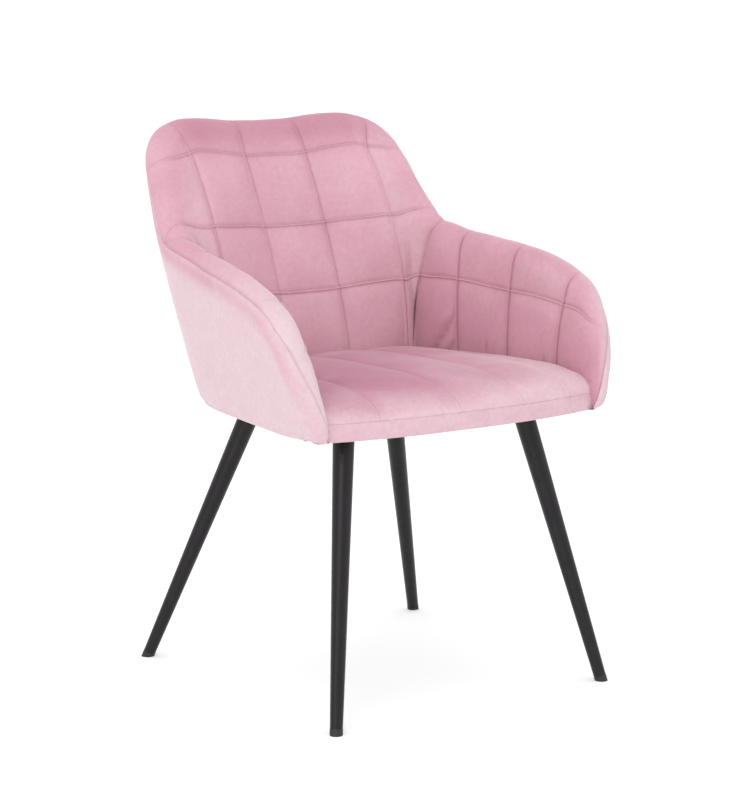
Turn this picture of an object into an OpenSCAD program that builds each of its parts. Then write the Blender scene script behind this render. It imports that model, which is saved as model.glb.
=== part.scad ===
// Upholstered tub armchair on four splayed tapered steel legs.
// Right is +X for someone facing the chair, the front is -Y, and the floor is z = 0.
// A moulded plywood shell runs from one arm round the back to the other arm.
// Foam, wadding and covers are layers of one common skin, so they nest without gaps.

/* [Legs] */
// Underside of the seat board above the floor
base_z = 412; // [406:1:416]
// Outer diameter of a leg tube at the top
leg_top_d = 32; // [28:0.5:36]
// Outer diameter of a leg tube at the foot
leg_foot_d = 18.5; // [16:0.5:22]
// Wall of a leg tube
leg_wall = 1.5; // [1.2:0.1:2.5]
// Foot of a front leg, sideways from the middle
front_foot_x = 240; // [225:1:250]
// Foot of a front leg, forwards from the middle
front_foot_y = 295; // [280:1:300]
// Foot of a rear leg, sideways from the middle
rear_foot_x = 254; // [235:1:260]
// Foot of a rear leg, rearwards from the middle
rear_foot_y = 212; // [195:1:220]
// Width of a square mounting plate
plate_w = 60; // [56:1:62]
// Thickness of a mounting plate
plate_t = 3; // [2:0.5:4]
// Length of glide that shows below the tube
glide_h = 8; // [6:0.5:12]

/* [Seat] */
// Thickness of the plywood seat board
board_t = 12; // [11:1:13]
// Height of the cushion where it meets the back and the arms
seat_z = 467; // [460:1:472]
// Rise of the cushion's middle above its edges
seat_crown = 13; // [0:1:18]
// Height of the seam along the cushion's front
border_z = 435; // [430:1:440]

/* [Shell] */
// Thickness of the moulded plywood shell
ply_t = 8; // [6:1:8]
// Thickness of the velvet covers
cover_t = 1.2; // [0.8:0.1:1.4]
// Thickness of the black dust cover
dust_t = 0.8; // [0.5:0.1:1]
// Width of cover that is turned under and stapled
hem_w = 16; // [14:1:18]

/* [Hidden] */

tuck_z = base_z + board_t + 2;     // lower edge of the inner pads, just above the board
front_top = [160, -197];           // where a front leg's axis meets the seat board
rear_top = [125, 95];              // where a rear leg's axis meets the seat board
seat_front_y = -290;               // front of the cushion
front_bow = 25;                    // how far the corners of the front lie behind its middle
nose_l = 108;                      // how far back the cushion starts to roll down to its front
seat_half_w = 229;                 // half width of the cushion in front of the arms
hole_offset = plate_w / 2 - 11;    // plate centre to bolt, along x and y
bolt_r = 3;                        // leg bolt
nut_r = 4;                         // barrel of a T-nut
nut_l = 10;
flange_r = 9.5;                    // flange of a T-nut
flange_t = 1.5;
velvet = [0.86, 0.66, 0.71];
foam_tone = [0.93, 0.90, 0.78];
wadding_tone = [0.95, 0.95, 0.93];
ply_tone = [0.78, 0.62, 0.42];
black = [0.13, 0.12, 0.13];
steel = [0.72, 0.72, 0.74];

// Half of the shell as stations, from the middle of the back round to the arm's front foot.
// Each has the rim's centre [x, y, z], its half thickness and height, the foot of the inner
// face [x, y], the foot of the outer face [x, y], the inner lean's power and the outer slope.
STATIONS = [
    [[0, 272, 770], [30, 50], [0, 106], [0, 147], 1.5, 0.5],
    [[60, 270, 772], [30, 50], [57, 105], [57, 147], 1.5, 0.5],
    [[118, 265, 777], [30, 50], [112, 103], [112, 146], 1.9, 0.55],
    [[164, 255, 776], [30, 46], [158, 101], [162, 143], 2.4, 0.7],
    [[195, 233, 753], [29, 39], [167, 100], [185, 136], 2.4, 0.85],
    [[215, 195, 702], [26, 32], [174, 99], [203, 122], 2.1, 1],
    [[231, 145, 648], [25, 27], [180, 96], [219, 95], 2, 1.1],
    [[243, 77, 628], [25, 24], [191, 51], [231, 50], 3, 1.2],
    [[253, 5, 620], [24, 23], [209, -7], [238, -10], 3, 1.2],
    [[263, -65, 612], [23, 23], [225, -70], [244, -73], 3, 1.15],
    [[271, -133, 599], [23, 23], [236, -130], [251, -133], 3, 1.1],
    [[273, -191, 575], [23, 23], [241, -170], [256, -173], 3, 1.1],
    [[269, -227, 534], [22, 22], [240, -190], [256, -193], 2, 1.1],
    [[262, -247, 487], [20, 21], [240, -205], [256, -207], 2, 1.1],
    [[252, -260, 448], [15, 18], [239, -215], [254, -216], 2, 1.1],
    [[247, -265, 430], [14, 15], [238, -221], [253, -223], 2, 1.1],
    [[243, -263, 415], [12, 12], [237, -224], [251, -226], 2, 1.1]
];
LAST = len(STATIONS) - 1;
CREASE = 6;                        // station where the back panel meets an arm panel
SEAM = 1.84;                       // row where the inner cover is sewn to the outer cover

function flat_row(s) = concat(s[0], s[1], s[2], s[3], [s[4], s[5]]);
function mirrored(r) = [-r[0], r[1], r[2], r[3], r[4], -r[5], r[6], -r[7], r[8], r[9], r[10]];
ROWS = concat(
    [for (i = [LAST:-1:1]) mirrored(flat_row(STATIONS[i]))],
    [for (s = STATIONS) flat_row(s)]
);

// Smooth curve through four neighbouring rows.
function blend4(a, b, c, d, f) =
    0.5 * (2 * b + (c - a) * f + (2 * a - 5 * b + 4 * c - d) * f * f +
           (3 * b - a - 3 * c + d) * f * f * f);
function row_at(t) =
    let (n = len(ROWS), g = t + LAST, i = max(0, min(n - 2, floor(g))), b = ROWS[i], c = ROWS[i + 1])
    blend4(i > 0 ? ROWS[i - 1] : 2 * b - c, b, c, i < n - 2 ? ROWS[i + 2] : 2 * c - b, g - i);
function rim_at(t) = let (r = row_at(t)) [r[0], r[1], r[2]];

// Everything a cross-section needs: its row, rim centre, outward normal and upward direction.
function section(t) =
    let (
        r = row_at(t),
        rim = [r[0], r[1], r[2]],
        run = rim_at(min(t + 0.01, LAST)) - rim_at(max(t - 0.01, -LAST)),
        down = [(r[5] + r[7]) / 2, (r[6] + r[8]) / 2, tuck_z] - rim,
        n = cross(down, run),
        u = cross(run, n)
    )
    [r, rim, n / norm(n) * sign(n * [rim[0], rim[1], 0]), -u / norm(u) * sign(u * down)];

// Faces of a section: q runs from 0 at the foot to 1 at the roll.
function inner_at(s, q) =
    let (r = s[0], foot = [r[5], r[6], tuck_z], top = s[1] - s[2] * r[3], h = pow(q, r[9]))
    [foot[0] + (top[0] - foot[0]) * h, foot[1] + (top[1] - foot[1]) * h, foot[2] + (top[2] - foot[2]) * q];
function outer_at(s, q) =
    let (
        r = s[0],
        foot = [r[7], r[8], base_z + 3],
        top = s[1] + s[2] * r[3],
        h = r[10] * q + (1 - r[10]) * q * q
    )
    [foot[0] + (top[0] - foot[0]) * h, foot[1] + (top[1] - foot[1]) * h, foot[2] + (top[2] - foot[2]) * q];
function at_height(p, z) = [p[0], p[1], z];

// Row v goes from -1, the board's underside, up the inner face (0 to 1), over the roll (1 to 2),
// down the outer face (2 to 3) and on to the board's underside again (4).
function skin(s, v) =
    v < 0 ? at_height(inner_at(s, 0), tuck_z + v * (tuck_z - base_z)) :
    v <= 1 ? inner_at(s, v) :
    v < 2 ? s[1] - s[2] * s[0][3] * cos(180 * (v - 1)) + s[3] * s[0][4] * sin(180 * (v - 1)) :
    v <= 3 ? outer_at(s, 3 - v) :
    at_height(outer_at(s, 0), base_z + 3 * (4 - v));
function middle(s, v) =
    v < 0 || v > 3 ? at_height((inner_at(s, 0) + outer_at(s, 0)) / 2, skin(s, v)[2]) :
    v <= 1 ? (inner_at(s, v) + outer_at(s, v)) / 2 :
    v < 2 ? s[1] :
    (inner_at(s, 3 - v) + outer_at(s, 3 - v)) / 2;
// A point at some depth under the skin, and one at some height over the middle surface.
function under(s, v, depth) = let (p = skin(s, v), c = middle(s, v)) p + (c - p) * depth / norm(c - p);
function over(s, v, height) = let (p = skin(s, v), c = middle(s, v)) c + (p - c) * height / norm(p - c);

function steps(a, b, n) = [for (i = [0:n]) a + (b - a) * i / n];
INNER_ROWS = concat(steps(0, 1, 6), [1.1, 1.22, 1.36, 1.5, 1.62, 1.73, SEAM]);
OUTER_ROWS = concat([SEAM, 1.92], steps(2, 3, 5), [3.9]);
CORE_ROWS = concat([-1], steps(0, 1, 6), [1.18, 1.34, 1.46]);
BACK_T = steps(-CREASE, CREASE, 24);
function arm_t(side) = steps(side * CREASE, side * LAST, 20);

// A closed solid between two grids of points that have the same size.
function quad_faces(n, m, o) = [
    for (i = [0:n - 2], j = [0:m - 2], k = [0, 1])
        let (a = o + i * m + j)
        k == 0 ? [a, a + 1, a + m] : [a + 1, a + m + 1, a + m]
];
function turned(faces) = [for (f = faces) [f[0], f[2], f[1]]];
function edge_faces(loop, o) = [
    for (i = [0:len(loop) - 1], k = [0, 1])
        let (a = loop[i], b = loop[(i + 1) % len(loop)])
        k == 0 ? [a, a + o, b] : [b, a + o, b + o]
];
function rim_loop(n, m) = concat(
    [for (j = [0:m - 2]) j],
    [for (i = [0:n - 2]) i * m + m - 1],
    [for (j = [m - 1:-1:1]) (n - 1) * m + j],
    [for (i = [n - 1:-1:1]) i * m]
);
function volume6(pts, faces) =
    let (parts = [for (f = faces) pts[f[0]] * cross(pts[f[1]], pts[f[2]])])
    parts * [for (f = faces) 1];
module between(a, b) {
    n = len(a);
    m = len(a[0]);
    pts = concat([for (r = a) each r], [for (r = b) each r]);
    faces = concat(
        quad_faces(n, m, 0),
        turned(quad_faces(n, m, n * m)),
        edge_faces(rim_loop(n, m), n * m)
    );
    polyhedron(pts, volume6(pts, faces) < 0 ? faces : turned(faces));
}

// One layer of the shell, from one depth under the skin to another.
module cover_layer(ts, vs) {
    between(
        [for (t = ts) let (s = section(t)) [for (v = vs) skin(s, v)]],
        [for (t = ts) let (s = section(t)) [for (v = vs) under(s, v, cover_t)]]
    );
}
module pad_layer(ts, vs) {
    between(
        [for (t = ts) let (s = section(t)) [for (v = vs) under(s, v, cover_t)]],
        [for (t = ts) let (s = section(t)) [for (v = vs) over(s, v, ply_t / 2)]]
    );
}
module core_layer(ts) {
    between(
        [for (t = ts) let (s = section(t)) [for (v = CORE_ROWS) over(s, v, ply_t / 2)]],
        [for (t = ts) let (s = section(t)) [for (v = CORE_ROWS) over(s, 3 - v, ply_t / 2)]]
    );
}
// The edge of an outer cover is turned under the shell and stapled there.
function inward(s, d, z) =
    let (p = skin(s, 4), w = middle(s, 4) - p) [p[0] + w[0] / norm(w) * d, p[1] + w[1] / norm(w) * d, z];
function hem_outside(s) = [inward(s, 0, base_z - cover_t), inward(s, hem_w, base_z - cover_t)];
function hem_inside(s) = [inward(s, cover_t, base_z), inward(s, hem_w, base_z)];
module outer_cover(ts) {
    color(velvet) between(
        [for (t = ts) let (s = section(t)) concat([for (v = OUTER_ROWS) skin(s, v)], hem_outside(s))],
        [for (t = ts) let (s = section(t)) concat([for (v = OUTER_ROWS) under(s, v, cover_t)], hem_inside(s))]
    );
}

// ---- Fixings ----
function aim(a, b) = let (d = b - a) [0, acos(d[2] / norm(d)), atan2(d[1], d[0])];
CORE_SCREWS = [-12.2, -9.5, -7.2, -3, 0, 3, 7.2, 9.5, 12.2];
core_screw_l = 32;
core_screw_r = 2;
core_screw_z = base_z + board_t / 2;
module at_core_screw(t) {
    s = section(t);
    outer = at_height(over(s, 4, ply_t / 2), core_screw_z);
    inner = at_height(over(s, -1, ply_t / 2), core_screw_z);
    translate(outer) rotate(aim(outer, inner)) children();
}
module core_screw_holes() {
    for (t = CORE_SCREWS)
        at_core_screw(t) translate([0, 0, -1])
            cylinder(h = core_screw_l + 1, r = core_screw_r + 0.05, $fn = 24);
}
BRACKET_ROWS = [2.38, 2.46, 2.54];
bracket_t = 2;
module bracket_strap(side, lift, grow) {
    ts = steps(side * (CREASE - 0.7 - grow), side * (CREASE + 0.45 + grow), 6);
    vs = [BRACKET_ROWS[0] - grow * 0.4, BRACKET_ROWS[1], BRACKET_ROWS[2] + grow * 0.4];
    between(
        [for (t = ts) let (s = section(t)) [for (v = vs) over(s, v, ply_t / 2 + lift)]],
        [for (t = ts) let (s = section(t)) [for (v = vs) over(s, v, ply_t / 2)]]
    );
}
module at_bracket_screws() {
    for (side = [-1, 1], d = [-0.5, 0.28]) {
        s = section(side * (CREASE + d));
        outer = over(s, BRACKET_ROWS[1], ply_t / 2 + bracket_t);
        inner = over(s, BRACKET_ROWS[1], -ply_t / 2);
        translate(outer) rotate(aim(outer, inner)) children();
    }
}

// ---- Legs ----
function leg_foot(front, side) =
    front ? [side * front_foot_x, -front_foot_y, 0] : [side * rear_foot_x, rear_foot_y, 0];
function leg_head(front, side) =
    let (p = front ? front_top : rear_top) [side * p[0], p[1], base_z - plate_t];
// Turns a leg, which is cut level while it leans towards +X, to its own direction.
function leg_turn(front, side) = aim(leg_foot(front, side), leg_head(front, side));
module leaning(front, side) {
    rotate([0, leg_turn(front, side)[1], 0]) children();
}
module at_leg(front, side) {
    translate(leg_foot(front, side)) rotate([0, 0, leg_turn(front, side)[2]]) children();
}
module level_cut(z, h) {
    translate([-500, -500, z]) cube([1000, 1000, h]);
}
module leg(front, side) {
    top = leg_head(front, side)[2];
    l = norm(leg_head(front, 1) - leg_foot(front, 1));
    spare = 20;                    // tube beyond the level cut
    grow = (leg_top_d - leg_foot_d) / 2 / l * spare;
    color(black) at_leg(front, side) difference() {
        leaning(front, side) difference() {
            translate([0, 0, glide_h])
                cylinder(h = l + spare - glide_h, r1 = leg_foot_d / 2, r2 = leg_top_d / 2 + grow, $fn = 48);
            translate([0, 0, glide_h - 1]) cylinder(
                h = l + spare,
                r1 = leg_foot_d / 2 - leg_wall,
                r2 = leg_top_d / 2 + grow - leg_wall,
                $fn = 48
            );
        }
        level_cut(top, 80);
    }
}
module foot_glide(front, side) {
    stem_r = leg_foot_d / 2 - leg_wall - 0.15;
    color(black) at_leg(front, side) difference() {
        leaning(front, side) union() {
            translate([0, 0, -8]) cylinder(h = 8 + glide_h, r = leg_foot_d / 2 + 0.2, $fn = 48);
            translate([0, 0, glide_h - 1]) cylinder(h = 16, r = stem_r, $fn = 48);
        }
        level_cut(-40, 40);
    }
}
module rounded_plate(w, r, t) {
    linear_extrude(t) union() {
        square([w - 2 * r, w], center = true);
        square([w, w - 2 * r], center = true);
        for (x = [-1, 1], y = [-1, 1]) translate([x * (w / 2 - r), y * (w / 2 - r)]) circle(r, $fn = 32);
    }
}
module at_bolts(head) {
    for (x = [-hole_offset, hole_offset], y = [-hole_offset, hole_offset])
        translate(head + [x, y, 0]) children();
}
module at_all_bolts() {
    for (front = [true, false], side = [-1, 1]) at_bolts(leg_head(front, side)) children();
}
module leg_plate(front, side) {
    head = leg_head(front, side);
    color(black) difference() {
        translate(head) rounded_plate(plate_w, 8, plate_t);
        at_bolts(head) translate([0, 0, -1]) cylinder(h = plate_t + 2, r = bolt_r + 0.3, $fn = 32);
    }
}
module leg_bolts() {
    color(steel) at_all_bolts() union() {
        translate([0, 0, -5]) cylinder(h = 4, r = 5, $fn = 6);
        translate([0, 0, -1.5]) cylinder(h = plate_t + board_t - 1.5, r = bolt_r, $fn = 32);
    }
}
module leg_bolt_washers() {
    color(steel) at_all_bolts() translate([0, 0, -1]) difference() {
        cylinder(h = 1, r = 6.5, $fn = 32);
        translate([0, 0, -1]) cylinder(h = 3, r = bolt_r + 0.2, $fn = 32);
    }
}
module t_nuts() {
    top = plate_t + board_t;
    color(steel) at_all_bolts() difference() {
        union() {
            translate([0, 0, top - flange_t]) cylinder(h = flange_t, r = flange_r, $fn = 32);
            translate([0, 0, top - nut_l]) cylinder(h = nut_l, r = nut_r, $fn = 32);
        }
        translate([0, 0, top - nut_l - 2]) cylinder(h = nut_l + 4, r = bolt_r + 0.05, $fn = 32);
    }
}

// ---- Seat ----
function foot_x(y) = lookup(-y, [for (s = STATIONS) if (s[2][1] < 100) [-s[2][1], s[2][0]]]);
function seat_back_y(c) = STATIONS[0][2][1] - 9 * pow(abs(c), 4);
function seat_front(c) = seat_front_y + front_bow * pow(abs(c), 2.5);
// Plan of the cushion: c runs across from -1 to 1, r from 0 at the back to 1 at the front.
function seat_plan(c, r, inset) =
    let (y = seat_back_y(c) - inset + (seat_front(c) + 2 * inset - seat_back_y(c)) * r,
         half = min(foot_x(y), r > 0.8 ? seat_half_w : 300) - inset - 0.3)
    [c * half, y];
function seat_top(c, r, inset) =
    let (y = seat_plan(c, r, inset)[1],
         nose = max(0, min(1, 1 - (y - seat_front(c)) / nose_l)),
         dome = (1 - pow(abs(c), 3)) * (1 - pow(abs(2 * r - 1), 3)))
    border_z + (seat_z + seat_crown * dome - border_z) * pow(1 - pow(nose, 2.3), 1 / 2.3) - inset;
SEAT_C = [-1, -0.93, -0.8, -0.6, -0.4, -0.2, 0, 0.2, 0.4, 0.6, 0.8, 0.93, 1];
SEAT_R = [0, 0.06, 0.15, 0.27, 0.4, 0.52, 0.64, 0.74, 0.82, 0.88, 0.93, 0.965, 0.985, 1];
module seat_block(inset, low) {
    between(
        [for (r = SEAT_R) [for (c = SEAT_C) let (p = seat_plan(c, r, inset))
            [p[0], p[1] + 7 * pow(1 - r, 4), seat_top(c, r, inset)]]],
        [for (r = SEAT_R) [for (c = SEAT_C) let (p = seat_plan(c, r, inset)) [p[0], p[1], low]]]
    );
}
function front_edge(inset) = [for (c = SEAT_C) [c * (seat_half_w - inset - 0.3), seat_front(c) + inset]];
function backwards(list) = [for (i = [len(list) - 1:-1:0]) list[i]];
BOARD_EDGE = [
    for (t = steps(-LAST + 1, LAST - 1, 60))
        let (p = over(section(t), -1, ply_t / 2)) [p[0], p[1]]
];
module board_outline() {
    polygon(concat(
        [[-seat_half_w + 2, BOARD_EDGE[0][1] - 2]], BOARD_EDGE, [[seat_half_w - 2, BOARD_EDGE[0][1] - 2]],
        backwards(front_edge(cover_t))
    ));
}
module seat_board() {
    color(ply_tone) difference() {
        translate([0, 0, base_z]) linear_extrude(board_t) board_outline();
        at_all_bolts() {
            cylinder(h = 60, r = nut_r + 0.05, $fn = 32);
            translate([0, 0, plate_t + board_t - flange_t]) cylinder(h = 10, r = flange_r + 0.1, $fn = 32);
        }
        core_screw_holes();
    }
}
module seat_foam() {
    color(foam_tone) seat_block(cover_t, base_z + board_t);
}
module seat_cover() {
    color(velvet) union() {
        difference() {
            seat_block(0, base_z + board_t);
            seat_block(cover_t, base_z + board_t - 5);
        }
        translate([0, 0, base_z - cover_t]) linear_extrude(border_z - base_z)
            polygon(concat(front_edge(0), backwards(front_edge(cover_t))));
        translate([0, 0, base_z - cover_t]) linear_extrude(cover_t)
            polygon(concat(front_edge(0), backwards(front_edge(hem_w))));
    }
}

// ---- Shell ----
module back_core() {
    color(ply_tone) difference() {
        core_layer(steps(-CREASE + 0.04, CREASE - 0.04, 24));
        core_screw_holes();
        at_bracket_screws() translate([0, 0, -1]) cylinder(h = 8, r = 1.8, $fn = 16);
    }
}
module arm_core(side) {
    color(ply_tone) difference() {
        core_layer(arm_t(side));
        core_screw_holes();
        at_bracket_screws() translate([0, 0, -1]) cylinder(h = 8, r = 1.8, $fn = 16);
    }
}
module core_screws() {
    color(steel) for (t = CORE_SCREWS)
        at_core_screw(t) cylinder(h = core_screw_l, r = core_screw_r, $fn = 24);
}
module corner_brackets() {
    color(steel) difference() {
        for (side = [-1, 1]) bracket_strap(side, bracket_t, 0);
        at_bracket_screws() translate([0, 0, -1]) cylinder(h = 8, r = 1.8, $fn = 16);
    }
}
module bracket_screws() {
    color(steel) at_bracket_screws() cylinder(h = 7, r = 1.75, $fn = 16);
}
module wadding(ts, side) {
    color(wadding_tone) difference() {
        pad_layer(ts, OUTER_ROWS);
        for (s = side) bracket_strap(s, bracket_t + 0.3, 0.05);
    }
}
module inner_cover(ts) {
    color(velvet) cover_layer(ts, INNER_ROWS);
}
module foam(ts) {
    color(foam_tone) pad_layer(ts, INNER_ROWS);
}

// ---- Underside ----
dust_margin = 10;
DUST_EDGE = [
    for (t = steps(-LAST + 2, LAST - 2, 28))
        let (p = inward(section(t), dust_margin, 0)) [p[0], p[1]]
];
module dust_cover() {
    low = base_z - cover_t - dust_t;
    color(black) difference() {
        translate([0, 0, low]) linear_extrude(dust_t)
            polygon(concat(DUST_EDGE, backwards(front_edge(dust_margin))));
        for (front = [true, false], side = [-1, 1])
            translate(leg_head(front, side) - [0, 0, 5]) rounded_plate(plate_w + 2, 9, 20);
    }
}
staple_w = 10;
module staple() {
    translate([-staple_w / 2, -0.6, -0.7]) cube([staple_w, 1.2, 0.7]);
    for (x = [-1, 1]) translate([x * (staple_w / 2 - 0.5) - 0.5, -0.6, -0.1]) cube([1, 1.2, 6]);
}
STAPLE_T = concat(steps(-13.5, -1, 16), steps(1, 13.5, 16));
module staples() {
    low = base_z - cover_t - dust_t;
    color(steel) {
        for (t = STAPLE_T) {
            a = inward(section(t - 0.1), dust_margin + 5, low);
            b = inward(section(t + 0.1), dust_margin + 5, low);
            translate((a + b) / 2) rotate(atan2(b[1] - a[1], b[0] - a[0])) staple();
        }
        for (x = [-200:40:200]) translate([x, seat_front(x / seat_half_w) + dust_margin + 5, low]) staple();
    }
}

leg(true, -1);  // leg_front_left
leg(true, 1);  // leg_front_right
leg(false, -1);  // leg_rear_left
leg(false, 1);  // leg_rear_right
leg_plate(true, -1);  // leg_plate_front_left
leg_plate(true, 1);  // leg_plate_front_right
leg_plate(false, -1);  // leg_plate_rear_left
leg_plate(false, 1);  // leg_plate_rear_right
foot_glide(true, -1);  // foot_glide_front_left
foot_glide(true, 1);  // foot_glide_front_right
foot_glide(false, -1);  // foot_glide_rear_left
foot_glide(false, 1);  // foot_glide_rear_right
leg_bolts();
leg_bolt_washers();
t_nuts();
seat_board();
back_core();
arm_core(-1);  // left_arm_core
arm_core(1);  // right_arm_core
core_screws();
corner_brackets();
bracket_screws();
foam(BACK_T);  // back_foam
foam(arm_t(-1));  // left_arm_foam
foam(arm_t(1));  // right_arm_foam
seat_foam();
wadding(BACK_T, [-1, 1]);  // back_wadding
wadding(arm_t(-1), [-1]);  // left_arm_wadding
wadding(arm_t(1), [1]);  // right_arm_wadding
inner_cover(BACK_T);  // back_inner_cover
inner_cover(arm_t(-1));  // left_arm_inner_cover
inner_cover(arm_t(1));  // right_arm_inner_cover
seat_cover();
outer_cover(BACK_T);  // back_outer_cover
outer_cover(arm_t(-1));  // left_arm_outer_cover
outer_cover(arm_t(1));  // right_arm_outer_cover
dust_cover();
staples();
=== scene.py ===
"""Upholstered tub armchair: velvet panels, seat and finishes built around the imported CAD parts.

The shell that carries the covers is the same surface as in part.scad, in metres. A point on it
is skin(t, v): t runs round the chair from the left arm's front foot (-16) over the middle of
the back (0) to the right arm's front foot (16), and v runs up the inner face (0 to 1), over the
roll (1 to 2) and down the outer face (2 to 3).
"""
import math

import bpy
import numpy as np
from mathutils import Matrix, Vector


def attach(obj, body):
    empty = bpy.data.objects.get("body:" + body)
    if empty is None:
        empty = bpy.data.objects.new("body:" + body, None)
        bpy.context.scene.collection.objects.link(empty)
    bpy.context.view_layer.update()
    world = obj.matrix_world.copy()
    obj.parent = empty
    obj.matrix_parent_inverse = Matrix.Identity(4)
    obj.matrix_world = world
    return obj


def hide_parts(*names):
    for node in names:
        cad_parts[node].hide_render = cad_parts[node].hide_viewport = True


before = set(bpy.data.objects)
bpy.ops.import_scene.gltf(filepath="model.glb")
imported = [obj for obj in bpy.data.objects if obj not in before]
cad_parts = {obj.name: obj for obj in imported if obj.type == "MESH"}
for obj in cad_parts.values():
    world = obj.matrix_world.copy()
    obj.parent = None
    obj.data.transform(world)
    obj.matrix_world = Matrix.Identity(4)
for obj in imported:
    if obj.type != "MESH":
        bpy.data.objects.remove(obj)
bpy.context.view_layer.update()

MM = 0.001
BASE_Z, TUCK_Z = 0.412, 0.426       # underside of the shell, and foot of its inner face
SEAM = 1.84                         # row of the outer seam, before it dips and turns

# ---------------------------------------------------------------- the shell
# One station a row, for half the chair, as in part.scad: rim centre x, y, z; half thickness and
# height of the roll; foot of the inner face x, y; foot of the outer face x, y (all in mm); the
# inner lean's power and the outer slope.
STATIONS = np.array([
    [0, 272, 770, 30, 50, 0, 106, 0, 147, 1.5, 0.5],
    [60, 270, 772, 30, 50, 57, 105, 57, 147, 1.5, 0.5],
    [118, 265, 777, 30, 50, 112, 103, 112, 146, 1.9, 0.55],
    [164, 255, 776, 30, 46, 158, 101, 162, 143, 2.4, 0.7],
    [195, 233, 753, 29, 39, 167, 100, 185, 136, 2.4, 0.85],
    [215, 195, 702, 26, 32, 174, 99, 203, 122, 2.1, 1],
    [231, 145, 648, 25, 27, 180, 96, 219, 95, 2, 1.1],
    [243, 77, 628, 25, 24, 191, 51, 231, 50, 3, 1.2],
    [253, 5, 620, 24, 23, 209, -7, 238, -10, 3, 1.2],
    [263, -65, 612, 23, 23, 225, -70, 244, -73, 3, 1.15],
    [271, -133, 599, 23, 23, 236, -130, 251, -133, 3, 1.1],
    [273, -191, 575, 23, 23, 241, -170, 256, -173, 3, 1.1],
    [269, -227, 534, 22, 22, 240, -190, 256, -193, 2, 1.1],
    [262, -247, 487, 20, 21, 240, -205, 256, -207, 2, 1.1],
    [252, -260, 448, 15, 18, 239, -215, 254, -216, 2, 1.1],
    [247, -265, 430, 14, 15, 238, -221, 253, -223, 2, 1.1],
    [243, -263, 415, 12, 12, 237, -224, 251, -226, 2, 1.1],
])
STATIONS[:, :9] *= MM
LAST = len(STATIONS) - 1
SMALL_T = 0.01                      # step for the direction along the shell
COVER_GAP = 3 * MM                  # how far the outer face's foot stands above BASE_Z
MIRRORED = STATIONS.copy()
MIRRORED[:, [0, 5, 7]] *= -1
ROWS = np.vstack([MIRRORED[:0:-1], STATIONS])


def spline(nodes, at):
    """Smooth curve through nodes (axis 0), read at the node numbers in at."""
    n = len(nodes)
    at = np.asarray(at, float)
    i = np.clip(np.floor(at).astype(int), 0, n - 2)
    f = (at - i).reshape(at.shape + (1,) * (nodes.ndim - 1))
    b, c = nodes[i], nodes[i + 1]
    first = (i > 0).reshape(f.shape)
    last = (i < n - 2).reshape(f.shape)
    a = np.where(first, nodes[np.maximum(i - 1, 0)], 2 * b - c)
    d = np.where(last, nodes[np.minimum(i + 2, n - 1)], 2 * c - b)
    return 0.5 * (2 * b + (c - a) * f + (2 * a - 5 * b + 4 * c - d) * f ** 2
                  + (3 * b - a - 3 * c + d) * f ** 3)


def unit(a):
    """Vectors of length 1."""
    return a / np.maximum(np.linalg.norm(a, axis=-1, keepdims=True), 1e-12)


def section(t):
    """Row values, rim centre, outward normal and upward direction at t."""
    r = spline(ROWS, t + LAST)
    rim = r[..., :3]
    ahead, behind = np.minimum(t + SMALL_T, LAST), np.maximum(t - SMALL_T, -LAST)
    run = (spline(ROWS, ahead + LAST) - spline(ROWS, behind + LAST))[..., :3]
    foot = np.stack([(r[..., 5] + r[..., 7]) / 2, (r[..., 6] + r[..., 8]) / 2,
                     np.full(r.shape[:-1], TUCK_Z)], -1)
    down = foot - rim
    n = np.cross(down, run)
    u = unit(np.cross(run, n))
    n = unit(n)
    n = n * np.sign((n * rim * [1, 1, 0]).sum(-1, keepdims=True))
    u = u * -np.sign((u * down).sum(-1, keepdims=True))
    return r, rim, n, u


def face(s, q, outer):
    """A point of the inner or the outer face, q from 0 at its foot to 1 at the roll."""
    r, rim, n, _ = s
    q = q[..., None]
    col = 7 if outer else 5
    z = np.full(r.shape[:-1], BASE_Z + COVER_GAP if outer else TUCK_Z)
    foot = np.stack([r[..., col], r[..., col + 1], z], -1)
    top = rim + (n if outer else -n) * r[..., 3:4]
    k = r[..., 10:11]
    h = k * q + (1 - k) * q * q if outer else np.power(np.clip(q, 0, None), r[..., 9:10])
    p = foot + (top - foot) * h
    p[..., 2] = (foot + (top - foot) * q)[..., 2]
    return p


def skin(t, v):
    """Points of the shell's surface: v up to 1 is the inner face, 1 to 2 the roll, 2 to 3 the outer."""
    t, v = np.broadcast_arrays(np.asarray(t, float), np.asarray(v, float))
    s = section(t)
    r, rim, n, u = s
    turn = (v - 1)[..., None] * np.pi
    roll = rim - n * r[..., 3:4] * np.cos(turn) + u * r[..., 4:5] * np.sin(turn)
    p = np.where((v > 1)[..., None], roll, face(s, np.clip(v, 0, 1), False))
    return np.where((v >= 2)[..., None], face(s, np.clip(3 - v, 0, 1), True), p)


def middle(t, v):
    """The middle of the shell under skin(t, v)."""
    t, v = np.broadcast_arrays(np.asarray(t, float), np.asarray(v, float))
    s = section(t)
    q = np.clip(np.where(v > 1.5, 3 - v, v), 0, 1)
    centre = (face(s, q, False) + face(s, q, True)) / 2
    rolled = ((v > 1) & (v < 2))[..., None]
    return np.where(rolled, s[1], centre)


# ---------------------------------------------------------------- grids of points
NEAR = np.array([0.6, 1.2, 1.9, 2.7, 3.8, 5.4, 8]) * MM   # extra rows beside a seam
HEM = (4 * MM, 14 * MM)             # how far in the two rows of a turned hem lie


def stops(length, left, right, pitch):
    """Fractions from 0 to 1 along one interval, closer together beside a seam."""
    near = NEAR[NEAR < 0.4 * length] / length
    a = near[-1] if left and len(near) else 0
    b = 1 - near[-1] if right and len(near) else 1
    count = max(2, round((b - a) * length / pitch))
    parts = [[0.0], near if left else [], np.linspace(a, b, count + 1),
             1 - near if right else [], [1.0]]
    return np.unique(np.round(np.concatenate([np.asarray(part, float) for part in parts]), 6))


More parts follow.
